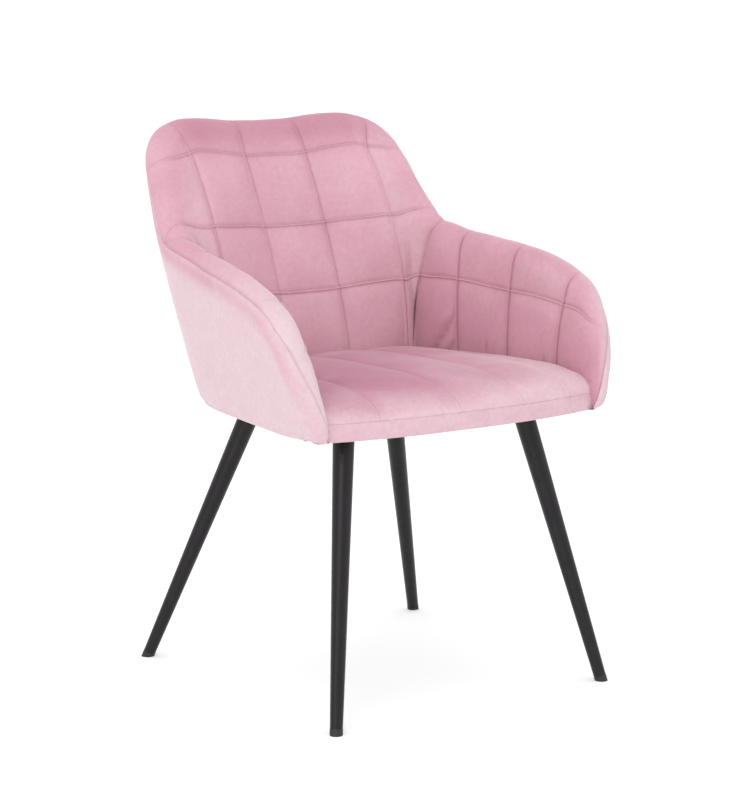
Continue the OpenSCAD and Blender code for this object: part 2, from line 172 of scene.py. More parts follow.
def lines_along(nodes_xyz, seams, pitch):
    """Node numbers to sample along axis 0, and where each node ends up in that list."""
    at, place = [0.0], [0]
    for k in range(len(nodes_xyz) - 1):
        length = np.linalg.norm(nodes_xyz[k + 1] - nodes_xyz[k], axis=-1).mean()
        f = stops(length, k in seams, k + 1 in seams, pitch)
        at += list(k + f[1:])
        place.append(len(at) - 1)
    return np.array(at), place


def smooth_noise(x, y, seed):
    """Seeded value noise in about -1 to 1, one feature per unit."""
    table = np.random.default_rng(seed).uniform(-1, 1, (64, 64))
    xi, yi = np.floor(x).astype(int), np.floor(y).astype(int)
    fx, fy = x - xi, y - yi
    fx, fy = fx * fx * (3 - 2 * fx), fy * fy * (3 - 2 * fy)

    def at(i, j):
        return table[(xi + i) % 64, (yi + j) % 64]
    return ((at(0, 0) * (1 - fx) + at(1, 0) * fx) * (1 - fy)
            + (at(0, 1) * (1 - fx) + at(1, 1) * fx) * fy)


def normals_of(p, outward):
    """Normals of a grid of points, turned to the side of outward."""
    du = np.gradient(p, axis=0)
    dv = np.gradient(p, axis=1)
    n = unit(np.cross(du, dv))
    return n * np.sign((n * outward).sum(-1, keepdims=True).mean())


TUCK_SHAPE = ((2.4, 0, 1.25), (-1.1, 2.9, 1.3), (-0.4, -2.9, 1.5))  # height, place, width in mm


def tuck(d):
    """Height of a pin-tuck at signed distance d from its stitch line: a ridge between two dips."""
    x = d / MM
    return MM * sum(high * np.exp(-((x - at) / wide) ** 2) for high, at, wide in TUCK_SHAPE)


def mesh_object(name, verts, faces, attributes=None):
    """A smooth mesh in the scene, with one number a vertex for every attribute."""
    mesh = bpy.data.meshes.new(name)
    mesh.from_pydata([tuple(v) for v in verts], [], [tuple(f) for f in faces])
    mesh.validate()
    mesh.update()
    mesh.polygons.foreach_set("use_smooth", [True] * len(mesh.polygons))
    for key, values in (attributes or {}).items():
        layer = mesh.attributes.new(key, "FLOAT", "POINT")
        layer.data.foreach_set("value", np.asarray(values, np.float32))
    obj = bpy.data.objects.new(name, mesh)
    bpy.context.scene.collection.objects.link(obj)
    return obj


def grid_faces(n, m, flip):
    """Quads between the n rows and m columns of a grid of points."""
    i, j = np.meshgrid(np.arange(n - 1), np.arange(m - 1), indexing="ij")
    a = (i * m + j).ravel()
    quads = np.stack([a, a + 1, a + m + 1, a + m], -1)
    return quads[:, ::-1] if flip else quads


def grid_object(name, p, attributes, hem):
    """A cloth panel from a grid of points. hem is the direction in which its edges turn under."""
    near, far = (p + hem * d for d in HEM)
    wide = np.concatenate([far[:1], near[:1], p, near[-1:], far[-1:]], 0)
    near, far = (np.concatenate([q[:1]] * 2 + [q] + [q[-1:]] * 2, 0) for q in (near, far))
    p = np.concatenate([far[:, :1], near[:, :1], wide, near[:, -1:], far[:, -1:]], 1)
    padded = {key: np.pad(values, 2, mode="edge").ravel() for key, values in attributes.items()}
    return mesh_object(name, p.reshape(-1, 3), grid_faces(*p.shape[:2], False), padded)


# ---------------------------------------------------------------- quilted panels
EDGES = [(0, 0), (0, -1), (1, 0), (1, -1)]      # a panel's four edges: axis and line
FINE_PITCH, WORK_PITCH = 6 * MM, 10 * MM        # grid of the finished panel, and of the cloth
SMOOTHING = (0.6, -0.62) * 14                   # in and out again, so that nothing shrinks
PUFF_HEIGHT, PUFF_REACH = 3.2 * MM, 15 * MM     # how high a cell is filled, and how near its seams
PAINTED_RIDGE_HIGHLIGHT = 0.6                               # how strong the painted highlight on top of a pin-tuck is
ROLL_FADE, ROLL_FILL = 0.85, 0.75               # how much seams fade and cells join over the roll
EDGE_WIDTH, EDGE_SHADE_WIDTH = 2.5 * MM, 1.3 * MM      # half widths of the dip at a seam's edge and of its painted shade line
CLOTH_PRESSURE, CLOTH_SLACK = 4.0, 0.004        # pressure, and the share the sheet is too large
CLOTH_FRAMES, SWELL_CAP = 20, 7 * MM            # simulated frames, and how far a point may move


class Panel:
    """A quilted panel on the shell. Its nodes are (t, v) pairs in rows (axis 0) and columns."""

    def __init__(self, nodes, row_seams, col_seams, pitch=FINE_PITCH, fine=True):
        nodes = np.asarray(nodes, float)
        xyz = skin(nodes[..., 0], np.minimum(nodes[..., 1], SEAM))
        self.rows, self.row_at = lines_along(xyz, row_seams if fine else [], pitch)
        self.cols, self.col_at = lines_along(xyz.transpose(1, 0, 2), col_seams if fine else [], pitch)
        self.row_seams, self.col_seams = row_seams, col_seams
        even = spline(spline(evened(nodes), self.rows).transpose(1, 0, 2), self.cols)
        tv = restored(even.transpose(1, 0, 2))
        self.t, self.v = tv[..., 0], np.clip(tv[..., 1], 0, SEAM)
        top = self.rows[:, None] - self.rows[-1] + 1
        side = np.abs(self.cols[None, :]) - self.cols[-1] + 1
        self.v += np.clip(top, 0, 1) ** 2 * (seam_v(self.t) - self.v)[-1:]
        if nodes[0, 0, 0] * nodes[0, -1, 0] > 0:
            self.v += (np.clip(side, 0, 1) ** 2 * (seam_v(self.t) - self.v)[:, -1:]
                       * (np.abs(self.t[:, -1:]) > 11))
        self.p = skin(self.t, self.v)
        self.out = unit(self.p - middle(self.t, self.v))
        if fine:
            rough = Panel(nodes, row_seams, col_seams, WORK_PITCH, fine=False)
            self.p = read_grid(self, rough, rough.p)
        else:
            for gain in SMOOTHING:
                p = self.p
                around = (p[2:, 1:-1] + p[:-2, 1:-1] + p[1:-1, 2:] + p[1:-1, :-2]) / 4
                p[1:-1, 1:-1] += gain * (around - p[1:-1, 1:-1])
        self.n = normals_of(self.p, self.out)

    def along(self, axis, line):
        """Signed distance of every point from one grid line, measured along the grid."""
        p = self.p if axis == 0 else self.p.transpose(1, 0, 2)
        step = np.linalg.norm(np.diff(p, axis=0), axis=-1)
        run = np.concatenate([np.zeros((1, p.shape[1])), np.cumsum(step, 0)])
        d = run - run[line]
        return d if axis == 0 else d.T

    def lengths(self):
        """Distances in metres across and up the panel from its first column and row."""
        return self.along(1, 0), self.along(0, 0)


def puff(panel, lines=True):
    """A filled cell: 1 in its middle and 0 at its edges, and at its seams where lines is true."""
    at = list(EDGES)
    if lines:
        at = ([(0, panel.row_at[k]) for k in panel.row_seams]
              + [(1, panel.col_at[k]) for k in panel.col_seams] + at)
    shape = np.ones_like(panel.t)
    for axis, line in at:
        shape *= 1 - np.exp(-(np.abs(panel.along(axis, line)) / PUFF_REACH) ** 1.3)
    return shape


def tucks(panel):
    """Pin-tuck ridges along the seams, with a painted shade line at one side of each and a painted
    highlight on top.
    """
    h = np.zeros_like(panel.t)
    line = np.zeros_like(panel.t)
    for axis, seams, places, size, painted_shade_line in ((0, panel.row_seams, panel.row_at, 1.0, 0.55),
                                            (1, panel.col_seams, panel.col_at, 1.35, 0.8)):
        for k in seams:
            d = panel.along(axis, places[k])
            h += tuck(d) * size
            line += painted_shade_line * np.exp(-(d / MM - 2.0) ** 2) - PAINTED_RIDGE_HIGHLIGHT * np.exp(-(d / MM + 0.3) ** 2)
    return h, line


# Quilting: level rows and upright columns on the back, upright columns on the arms.
COLUMN_X = (57 * MM, 161 * MM)      # columns of the back, from the middle
ROW_Z, ROW_PITCH = 560 * MM, 103 * MM   # lowest row of the back, and one row to the next
ROW_RISE = 10 * MM                  # how much higher a row is at the second column
CREASE_FOOT, CREASE_LEAN = 5.0, 1.45    # crease of back and arm: station at the seat, and its lean
CREASE_TOP, CREASE_RETURN = 1.3, 0.3    # row where it leans most, and how far it comes back over it
GATHER = 0.2                        # how much closer the columns come from row 0.95 to the rim
CLIMBS = (0.13, 0.52, 1)            # shares of a row's climb over the wing at its last three points
RIM_ENDS = (4.42, 3.85, 3.35)       # stations where the back's upper rows reach the outer seam
# An arm's columns: station at the outer seam, how far forward of it at the seat, and the power.
ARM_COLUMNS = ((7.35, 0.25, 2), (8.98, 0.07, 2), (10.55, 0.60, 1.1))
ARM_ROW, ARM_TURN = 0.742, (9.0, 3.45)  # row of the arm's seam, and where it turns over the front


def level(t, z):
    """Row at which the inner face at station t has height z."""
    v = np.linspace(0, 1.2, 241)
    return float(np.interp(z, skin(np.full(v.shape, t), v)[:, 2], v))


def upright(x, v):
    """Station at which the inner face has width x in row v."""
    t = np.linspace(0, 5, 501)
    return float(np.interp(x, skin(t, np.full(t.shape, min(v, 0.7)))[:, 0], t))


def crease(v):
    """Station of the crease between back and arm: it leans forwards up to the rim, then back."""
    over = max(v - CREASE_TOP, 0) / 0.52
    lean = CREASE_LEAN * math.sin(math.pi / 2 * min(v / CREASE_TOP, 1))
    return CREASE_FOOT + lean - CREASE_RETURN * over ** 2


def back_row(v, end, bend, z=None):
    """A row of the back: level as far as its second column, then up over the wing to its end."""
    row = []
    for x in (0,) + COLUMN_X:
        t = 0.0 if x == 0 else upright(x, v) * (1 - GATHER * (max(v - 0.95, 0) / 0.89) ** 1.5)
        row.append((t, v if z is None else level(t, z + ROW_RISE * (x / COLUMN_X[1]) ** 2)))
    (t, v), (t_end, v_end) = row[-1], end
    return row + [(t + (t_end - t) * climb ** (1 / bend), v + (v_end - v) * climb) for climb in CLIMBS]


ROWS_Z = [ROW_Z + k * ROW_PITCH for k in (0, 0.5, 1, 2)]
BACK_HALF = [back_row(0, (crease(0), 0), 2)]
BACK_HALF += [back_row(level(0, z), end, bend, z) for z, end, bend in zip(
    ROWS_Z, [(crease(0.66), 0.66), (crease(1.22), 1.22), (crease(1.82), 1.82), (RIM_ENDS[0], SEAM)],
    (2.0, 2.2, 3.8, 4.6))]
BACK_HALF += [back_row(1.32, (RIM_ENDS[1], SEAM), 2.4), back_row(SEAM, (RIM_ENDS[2], SEAM), 2)]
BACK = [[(-t, v) for t, v in row[:0:-1]] + row for row in BACK_HALF]


def arm_row(v, start, front):
    """A row of the right arm from its crease over the three columns to its front."""
    up = max(0, 1 - v / SEAM)
    return [start] + [(top + spread * up ** power, v) for top, spread, power in ARM_COLUMNS] + front


def turned(t):
    """The arm's row seam stays level, then turns up over the arm's front like a rounded corner."""
    f = np.clip((t - ARM_TURN[0]) / ARM_TURN[1], 0, 1)
    return ARM_ROW + 1 - (1 - f ** 2.5) ** 0.4


# The arm's rows. The points in front of the columns only guide the cloth over the arm's front.
ARM = [
    arm_row(0, (CREASE_FOOT, 0), [(13.0, 0), (14.8, 0), (16, 1.2)]),
    arm_row(0.33, (crease(0.31), 0.31), [(12.7, 0.56), (14.1, 0.93), (15.0, 1.33)]),
    arm_row(0.74, (crease(0.66), 0.66), [(t, 0) for t in (11.65, 12.1, 12.4)]),
    arm_row(1.2, (crease(1.22), 1.22), [(11.2, 1.35), (11.6, 1.5), (11.9, 1.66)]),
    arm_row(SEAM, (crease(1.82), 1.82), [(10.9, SEAM), (11.15, SEAM), (11.4, 1.80)]),
]
ARM[1][3] = (ARM[1][3][0], 0.37)    # the helper row rises with the seam above it
ARM[2][2:] = [(t, float(turned(t))) for t, _ in ARM[2][2:]]     # the seam itself


FRONT_TURN, FRONT_T = 0.56, 12.75   # how many rows the outer seam turns forwards, and about where
DIP, DIP_T, DIP_WIDTH = 0.08, 7.2, 0.8  # its dip at the corner of back and arm


def seam_v(t):
    """Row of the outer seam: it dips at the corner and comes forwards on an arm's front."""
    t = np.abs(t)
    return SEAM - FRONT_TURN / (1 + np.exp(FRONT_T - t)) - DIP * np.exp(-((t - DIP_T) / DIP_WIDTH) ** 2)


# How far up the shell's face each row lies, as a share of the way from the seat to v = SEAM.
T_STEPS, V_STEPS, S_STEPS = 10, 100, 200        # entries a unit of t, of v and of the share
GRID_T = np.arange(0, LAST + 0.01, 1 / T_STEPS)
GRID_V = np.linspace(0, 2, 2 * V_STEPS + 1)
GRID_S = np.linspace(0, 1.1, 221)


def share_tables():
    """The share of the way up at every (t, v) of the grid, and the row at every (t, share)."""
    xyz = skin(GRID_T[:, None], GRID_V[None, :])
    run = np.cumsum(np.linalg.norm(np.diff(xyz, axis=1, prepend=xyz[:, :1]), axis=-1), axis=1)
    share = run / run[:, round(SEAM * V_STEPS), None]
    rows = np.stack([np.interp(GRID_S, line, GRID_V) for line in share])
    return share, rows


SHARE, ROW = share_tables()


def look(table, i, j):
    """Value of a table between its entries."""
    i = np.clip(i, 0, table.shape[0] - 1.001)
    j = np.clip(j, 0, table.shape[1] - 1.001)
    a, b = np.floor(i).astype(int), np.floor(j).astype(int)
    f, g = i - a, j - b
    return ((table[a, b] * (1 - g) + table[a, b + 1] * g) * (1 - f)
            + (table[a + 1, b] * (1 - g) + table[a + 1, b + 1] * g) * f)


def evened(tv):
    """(t, v) as (t, share of the way up), so lines run smoothly over the shell."""
    t, v = tv[..., 0], tv[..., 1]
    return np.stack([t, look(SHARE, np.abs(t) * T_STEPS, v * V_STEPS)], -1)


def restored(ts):
    """The opposite of evened."""
    t, share = ts[..., 0], ts[..., 1]
    return np.stack([t, look(ROW, np.abs(t) * T_STEPS, share * S_STEPS)], -1)


def on_roll(v, start=1.0, end=1.45):
    """0 on the inner face, 1 on the roll."""
    x = np.clip((v - start) / (end - start), 0, 1)
    return x * x * (3 - 2 * x)


def inflate(nodes, row_seams, col_seams):
    """Blender's cloth between the stitched lines of a panel: how far each point swells."""
    panel = Panel(nodes, row_seams, col_seams, WORK_PITCH, fine=False)
    x, y = panel.lengths()
    start = panel.p + panel.n * (0.25 * MM * smooth_noise(x * 40, y * 40, 31))[..., None]
    n, m = panel.t.shape
    obj = mesh_object("cloth_work", start.reshape(-1, 3), grid_faces(n, m, False))
    orient(obj, panel)
    held = np.zeros((n, m))
    held[[0, -1]] = held[:, [0, -1]] = 1
    for k in row_seams:
        held[panel.row_at[k]] = 1
    for k in col_seams:
        held[:, panel.col_at[k]] = 1
    group = obj.vertex_groups.new(name="held")
    group.add([int(i) for i in np.flatnonzero(held.ravel())], 1.0, "REPLACE")
    cloth = obj.modifiers.new("cloth", "CLOTH")
    cs = cloth.settings
    cs.quality, cs.mass = 5, 0.3
    cs.tension_stiffness = cs.compression_stiffness = 15
    cs.shear_stiffness, cs.bending_stiffness = 5, 0.8
    cs.vertex_group_mass = "held"
    cs.use_pressure = True
    cs.uniform_pressure_force = CLOTH_PRESSURE
    cs.shrink_min = -CLOTH_SLACK
    cs.effector_weights.gravity = 0
    cloth.collision_settings.use_collision = False
    scene = bpy.context.scene
    for f in range(1, CLOTH_FRAMES + 1):
        scene.frame_set(f)
    done = obj.evaluated_get(bpy.context.evaluated_depsgraph_get())
    co = np.zeros(n * m * 3)
    done.data.vertices.foreach_get("co", co)
    move = co.reshape(n, m, 3) - panel.p
    bpy.data.objects.remove(obj)
    scene.frame_set(1)
    size = np.linalg.norm(move, axis=-1, keepdims=True)
    move *= np.minimum(1, SWELL_CAP / np.maximum(size, 1e-9))
    return panel, move


def read_grid(panel, work, move):
    """A field known on the coarse working grid, read on the fine grid."""
    rows = np.interp(panel.rows, work.rows, np.arange(len(work.rows)))
    cols = np.interp(panel.cols, work.cols, np.arange(len(work.cols)))
    return spline(spline(move, rows).transpose(1, 0, 2), cols).transpose(1, 0, 2)


METRE_T, METRE_V = 0.075, 0.17      # rough size of one t and one v on an arm


def fold(panel, start, end, high, wide):
    """A pulled fold in the cloth between two (t, v) points, with a painted shade line beside it."""
    a = np.array([start[0] * METRE_T, start[1] * METRE_V])
    b = np.array([end[0] * METRE_T, end[1] * METRE_V])
    q = np.stack([np.abs(panel.t) * METRE_T, panel.v * METRE_V], -1)
    along = ((q - a) @ (b - a)) / ((b - a) ** 2).sum()
    side = ((q - a) @ np.array([a[1] - b[1], b[0] - a[0]])) / np.linalg.norm(b - a)
    ends = np.exp(-(np.maximum(0, np.abs(along - 0.5) - 0.3) / 0.22) ** 2)
    lift = high * ends * (np.exp(-(side / wide) ** 2) - 0.6 * np.exp(-((side - 1.7 * wide) / wide) ** 2))
    return lift, 0.6 * ends * np.exp(-((side - 1.5 * wide) / (0.6 * wide)) ** 2)


# Folds of an arm: where each starts and ends, its height and its width.
ARM_FOLDS = [((7.30, 0.48), (6.62, 0.15), 5 * MM, 5 * MM),
             ((7.40, 0.29), (6.95, 0.12), 4 * MM, 4 * MM),
             ((10.45, 0.40), (10.40, 0.06), 1.8 * MM, 3 * MM),
             ((10.8, 0.30), (10.85, 0.05), 1.5 * MM, 2.5 * MM),
             ((8.35, 0.34), (8.55, 0.05), 1.4 * MM, 4 * MM),
             ((13.55, 0.90), (14.2, 1.02), 1.2 * MM, 3.5 * MM)]


def build_panel(name, nodes, row_seams, col_seams, replaced, tone, folds=()):
    """One inner panel: the smooth shell, its tucks and filled cells, folds, and the cloth's swelling."""
    panel = Panel(nodes, row_seams, col_seams)
    x, y = panel.lengths()
    roll = on_roll(panel.v)
    h, line = tucks(panel)
    fade = 0.35 if name == "back_panel" else ROLL_FADE
    line = line * (1 - roll * fade)
    h = h * (1 - ROLL_FADE * roll)
    swell = puff(panel) * (1 - ROLL_FILL * roll) + ROLL_FILL * roll * puff(panel, lines=False)
    lift = (h + PUFF_HEIGHT * swell - MM * (1 - on_roll(panel.v, 1.2, 1.7))
            + 0.35 * MM * smooth_noise(x * 22, y * 22, 5) * swell)
    # Along the panel's edges the cloth dips, with painted shade down in the seam.
    for axis, edge in EDGES:
        d = np.abs(panel.along(axis, edge))
        seam = on_roll(panel.v, 0.9, 1.2)
        lift -= (1.2 - 0.5 * seam) * MM * np.exp(-(d / EDGE_WIDTH) ** 2)
        line = np.maximum(line, (0.35 - 0.2 * seam) * np.exp(-(d / EDGE_SHADE_WIDTH) ** 2))
    # Each fold lifts the cloth and adds painted shade beside it.
    for start, end, high, wide in folds:
        more, painted_shade_line = fold(panel, start, end, high, wide)
        lift += more
        line = np.maximum(line, painted_shade_line)
    p = panel.p + panel.n * lift[..., None]
    work, move = inflate(nodes, row_seams, col_seams)
    p += read_grid(panel, work, move) * (0.5 - 0.3 * roll)[..., None]
    # crease carries painted shade and highlight; tone gives painted light and shade with brushed marks in
    # the pile.
    obj = grid_object(name, p, {"crease": line, "nap_and_painted_light": tone(panel)}, hem=-panel.out)
    orient(obj, panel)
    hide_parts(*replaced)
    return finish_piece(obj, velvet)


def orient(obj, panel):
    """Makes a panel's faces look away from the middle of the shell, by a vote of 300 faces."""
    mesh = obj.data
    points, outward = panel.p.reshape(-1, 3), panel.out.reshape(-1, 3)
    votes = 0.0
    for i in np.random.default_rng(1).integers(0, len(mesh.polygons), 300):
        poly = mesh.polygons[int(i)]
        near = np.argmin(((points - np.array(poly.center)) ** 2).sum(-1))
        votes += float(np.dot(np.array(poly.normal), outward[near]))
    if votes < 0:
        mesh.flip_normals()


# ---------------------------------------------------------------- materials
def node_tree(name):
    """A new material with a principled surface."""
    mat = bpy.data.materials.new(name)
    mat.use_nodes = True
    tree = mat.node_tree
    tree.nodes.clear()
    out = tree.nodes.new("ShaderNodeOutputMaterial")
    bsdf = tree.nodes.new("ShaderNodeBsdfPrincipled")
    tree.links.new(bsdf.outputs["BSDF"], out.inputs["Surface"])
    return mat, tree, bsdf


def linear(rgb):
    """Linear colour of an sRGB colour from 0 to 255."""
    c = np.array(rgb) / 255
    return tuple(np.where(c <= 0.04045, c / 12.92, ((c + 0.055) / 1.055) ** 2.4)) + (1.0,)


def noise(tree, scale, detail=2.0, rough=0.5, stretch=None, distortion=0.0):
    """Noise in the object's own coordinates."""
    coords = tree.nodes.new("ShaderNodeTexCoord")
    out = coords.outputs["Object"]
    if stretch:
        mapping = tree.nodes.new("ShaderNodeMapping")
        mapping.inputs["Scale"].default_value = stretch
        tree.links.new(out, mapping.inputs["Vector"])
        out = mapping.outputs["Vector"]
    n = tree.nodes.new("ShaderNodeTexNoise")
    n.inputs["Scale"].default_value = scale
    n.inputs["Detail"].default_value = detail
    n.inputs["Roughness"].default_value = rough
    n.inputs["Distortion"].default_value = distortion
    tree.links.new(out, n.inputs["Vector"])
    return n.outputs["Fac"]


def remap(tree, value, low, high, to_low, to_high):
    """A value's range low to high stretched to another range, and clamped."""
    m = tree.nodes.new("ShaderNodeMapRange")
    m.clamp = True
    for key, x in (("From Min", low), ("From Max", high), ("To Min", to_low), ("To Max", to_high)):
        m.inputs[key].default_value = x
    tree.links.new(value, m.inputs["Value"])
    return m.outputs["Result"]


def mix(tree, factor, a, b):
    """A colour between the colours or sockets a and b."""
    m = tree.nodes.new("ShaderNodeMix")
    m.data_type = "RGBA"
    if isinstance(factor, float):
        m.inputs[0].default_value = factor
    else:
        tree.links.new(factor, m.inputs[0])
    for socket, x in ((m.inputs[6], a), (m.inputs[7], b)):
        if isinstance(x, tuple):
            socket.default_value = x
        else:
            tree.links.new(x, socket)
    return m.outputs[2]


def bump(tree, height, strength, distance, under=None):
    """A normal bent by a height, over another normal if one is given."""
    b = tree.nodes.new("ShaderNodeBump")
    b.inputs["Strength"].default_value = strength
    b.inputs["Distance"].default_value = distance
    tree.links.new(height, b.inputs["Height"])
    if under is not None:
        tree.links.new(under, b.inputs["Normal"])
    return b.outputs["Normal"]


def velvet_material(name, base, light, deep, brushed_and_painted_light_tone, sheen):
    """Short-pile velvet: random tone patches, a soft sheen, and painted light and shade.

    One vertex attribute brings brushed pile and painted light towards the light brushed tone above 0, and
    painted shade towards the deep tone below 0.
    """
    mat, tree, bsdf = node_tree(name)
    patches = remap(tree, noise(tree, 9, 3, 0.5, distortion=0.5), 0.35, 0.68, 0.0, 1.0)
    tone = mix(tree, patches, linear(base), linear(light))
    # Painted light and brushed pile: the vertex attribute above 0, with random streaks, lightens towards
    # the brushed tone.
    nap_and_painted_light = tree.nodes.new("ShaderNodeAttribute")
    nap_and_painted_light.attribute_name = "nap_and_painted_light"
    streak = remap(tree, noise(tree, 16, 3, 0.55, distortion=0.8), 0.3, 0.7, -0.10, 0.10)
    brush_and_painted_light = tree.nodes.new("ShaderNodeMath")
    brush_and_painted_light.operation = "ADD"
    brush_and_painted_light.use_clamp = True
    tree.links.new(nap_and_painted_light.outputs["Fac"], brush_and_painted_light.inputs[0])
    tree.links.new(streak, brush_and_painted_light.inputs[1])
    tone = mix(tree, brush_and_painted_light.outputs[0], tone, linear(brushed_and_painted_light_tone))
    # Painted shade: the same attribute below 0 darkens towards the deep tone.
    tone = mix(tree, remap(tree, nap_and_painted_light.outputs["Fac"], -1.0, 0.0, 0.85, 0.0), tone, linear(deep))
    fine = remap(tree, noise(tree, 140, 4, 0.6), 0.35, 0.75, 0.0, 0.16)
    cloth = mix(tree, fine, tone, linear(deep))
    # The crease attribute paints shade beside tucks, seams and folds above 0, and a highlight on the tucks'
    # tops below 0.
    line = tree.nodes.new("ShaderNodeAttribute")
    line.attribute_name = "crease"
    painted_tuck_highlight = remap(tree, line.outputs["Fac"], -1.0, 0.0, 0.8, 0.0)
    cloth = mix(tree, painted_tuck_highlight, cloth, linear(brushed_and_painted_light_tone))
    shade = remap(tree, line.outputs["Fac"], 0.0, 1.0, 0.0, 0.8)
    tree.links.new(mix(tree, shade, cloth, linear(deep)), bsdf.inputs["Base Color"])
    pile = bump(tree, noise(tree, 1500, 2, 0.6), 0.3, 0.0003)
    tree.links.new(bump(tree, noise(tree, 300, 3, 0.6), 0.12, 0.0006, pile), bsdf.inputs["Normal"])
    tree.links.new(remap(tree, noise(tree, 90, 3), 0.3, 0.7, 0.8, 0.95), bsdf.inputs["Roughness"])
    bsdf.inputs["Specular IOR Level"].default_value = 0.15
    bsdf.inputs["Sheen Weight"].default_value = sheen
    bsdf.inputs["Sheen Roughness"].default_value = 0.3
    bsdf.inputs["Sheen Tint"].default_value = (1.0, 0.95, 0.97, 1.0)
    return mat


def steel_material(name, colour, metallic, rough, grain, shine=0.5):
    """Painted or plated steel with a fine orange peel and slightly varying gloss."""
    mat, tree, bsdf = node_tree(name)
    tone = remap(tree, noise(tree, 40, 3), 0.3, 0.7, 0.0, 0.5)
    lighter = [min(255, c + 12) for c in colour]
    tree.links.new(mix(tree, tone, linear(colour), linear(lighter)), bsdf.inputs["Base Color"])
    tree.links.new(remap(tree, noise(tree, 120, 3), 0.3, 0.7, rough - 0.05, rough + 0.07),
                   bsdf.inputs["Roughness"])
    tree.links.new(bump(tree, noise(tree, grain, 2), 0.12, 0.0002), bsdf.inputs["Normal"])
    bsdf.inputs["Metallic"].default_value = metallic
    bsdf.inputs["Specular IOR Level"].default_value = shine
    return mat


def soft_material(name, colour, other, scale, depth):
    """Foam, wadding, dust cloth and other open textures."""
    mat, tree, bsdf = node_tree(name)
    cells = remap(tree, noise(tree, scale, 4, 0.65), 0.35, 0.65, 0.0, 1.0)
    tree.links.new(mix(tree, cells, linear(colour), linear(other)), bsdf.inputs["Base Color"])
    tree.links.new(bump(tree, noise(tree, scale * 2, 3), 0.5, depth), bsdf.inputs["Normal"])
    tree.links.new(remap(tree, noise(tree, scale / 2, 2), 0.3, 0.7, 0.85, 1.0), bsdf.inputs["Roughness"])
    return mat


def wood_material(name):
    """Plywood: long grain streaks with faint bands of the layers."""
    mat, tree, bsdf = node_tree(name)
    grain = remap(tree, noise(tree, 30, 5, 0.6, stretch=(1, 8, 8)), 0.3, 0.7, 0.0, 1.0)
    tree.links.new(mix(tree, grain, linear((206, 168, 118)), linear((176, 132, 84))),
                   bsdf.inputs["Base Color"])
    tree.links.new(bump(tree, noise(tree, 200, 3, stretch=(1, 8, 8)), 0.2, 0.0003), bsdf.inputs["Normal"])
    tree.links.new(remap(tree, noise(tree, 60, 2), 0.3, 0.7, 0.55, 0.7), bsdf.inputs["Roughness"])
    return mat


velvet = velvet_material("velvet", (201, 156, 169), (208, 164, 177), (160, 94, 116), (211, 189, 194), 0.5)
# A darker, more mauve copy of the velvet: painted shade for the seat deep inside the tub.
velvet_seat_painted_shade = velvet_material("velvet_seat_painted_shade", (176, 122, 142), (188, 136, 154), (146, 84, 106),
                              (212, 182, 190), 0.5)
powder_black = steel_material("powder_coat_black", (18, 14, 18), 0.0, 0.3, 900, shine=0.3)
plastic_black = steel_material("moulded_plastic_black", (24, 24, 25), 0.0, 0.5, 500)
zinc = steel_material("zinc_plate", (178, 180, 184), 1.0, 0.34, 300)
foam_cream = soft_material("foam_cream", (236, 226, 190), (222, 206, 160), 500, 0.0008)
wadding_white = soft_material("wadding_white", (240, 240, 236), (222, 222, 218), 160, 0.002)
dust_black = soft_material("dust_cloth_black", (30, 30, 32), (44, 44, 47), 700, 0.0003)
plywood = wood_material("plywood_birch")


def finish_piece(obj, material):
    """Gives a piece its material and body."""
    obj.data.materials.append(material)
    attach(obj, "root")
    return obj


def strokes(panel, seed):
    """Broad marks where a hand has brushed the pile."""
    x, y = panel.lengths()
    return smooth_noise(x * 11 + y * 4, y * 13, seed) + 0.5 * smooth_noise(x * 27, y * 31 + x * 9, seed + 1)


def back_painted_light_and_nap(panel):
    """Painted shade over the top and painted light on the wings, with brushed marks in the pile."""
    wing = np.clip((np.abs(panel.t) - 2.6) / 1.2, 0, 1)
    over = on_roll(panel.v, 0.85, 1.15) * (1 - 0.6 * wing)
    return 0.05 + 0.16 * wing - 0.60 * over + 0.06 * strokes(panel, 41)


def arm_painted_light_and_nap(panel):
    """Painted shade on the inside of the arm, more lower down and towards its front, a lighter middle cell,
    a painted highlight over the roll towards its outer side, and brushed marks in the pile.
    """
    low = np.clip(1 - panel.v / 0.75, 0, 1)
    t = np.abs(panel.t)
    if panel.t.mean() < 0:
        start = np.interp(t, [8, 10], [1.3, 1.04])
        gain = np.interp(t, [7, 9, 10.5, 12.8], [0.0, 0.3, 0.9, 1.3])
    else:
        start = np.interp(t, [11, 14], [1.3, 1.2])
        gain = np.interp(t, [7, 9.5, 11, 13, 14.5], [0.1, 0.5, 0.7, 0.8, 0.3])
    painted_roll_highlight = on_roll((panel.v - start) / 0.26, 0, 1)
    middle_cell = 0.34 * np.exp(-((t - 10) / 1.1) ** 4 - ((panel.v - 0.9) / 0.22) ** 4)
    front = 0.35 * np.interp(panel.t, [11.8, 13.4], [0, 1])
    return -0.12 - 0.20 * low - front + middle_cell + gain * painted_roll_highlight + 0.10 * strokes(panel, 51)


NODE_FINISH = {
    "leg_": powder_black, "leg_plate_": powder_black, "foot_glide_": plastic_black,
    "leg_bolts": zinc, "leg_bolt_washers": zinc, "t_nuts": zinc, "core_screws": zinc,
    "corner_brackets": zinc, "bracket_screws": zinc, "staples": zinc, "seat_board": plywood,
    "back_core": plywood, "left_arm_core": plywood, "right_arm_core": plywood,
    "dust_cover": dust_black, "back_foam": foam_cream, "left_arm_foam": foam_cream,
    "right_arm_foam": foam_cream, "seat_foam": foam_cream, "back_wadding": wadding_white,
    "left_arm_wadding": wadding_white, "right_arm_wadding": wadding_white,
}
for node_name, node_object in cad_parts.items():
    match = max((k for k in NODE_FINISH if node_name.startswith(k)), key=len, default=None)
    node_object.data.materials.clear()
    node_object.data.materials.append(NODE_FINISH[match] if match else velvet)

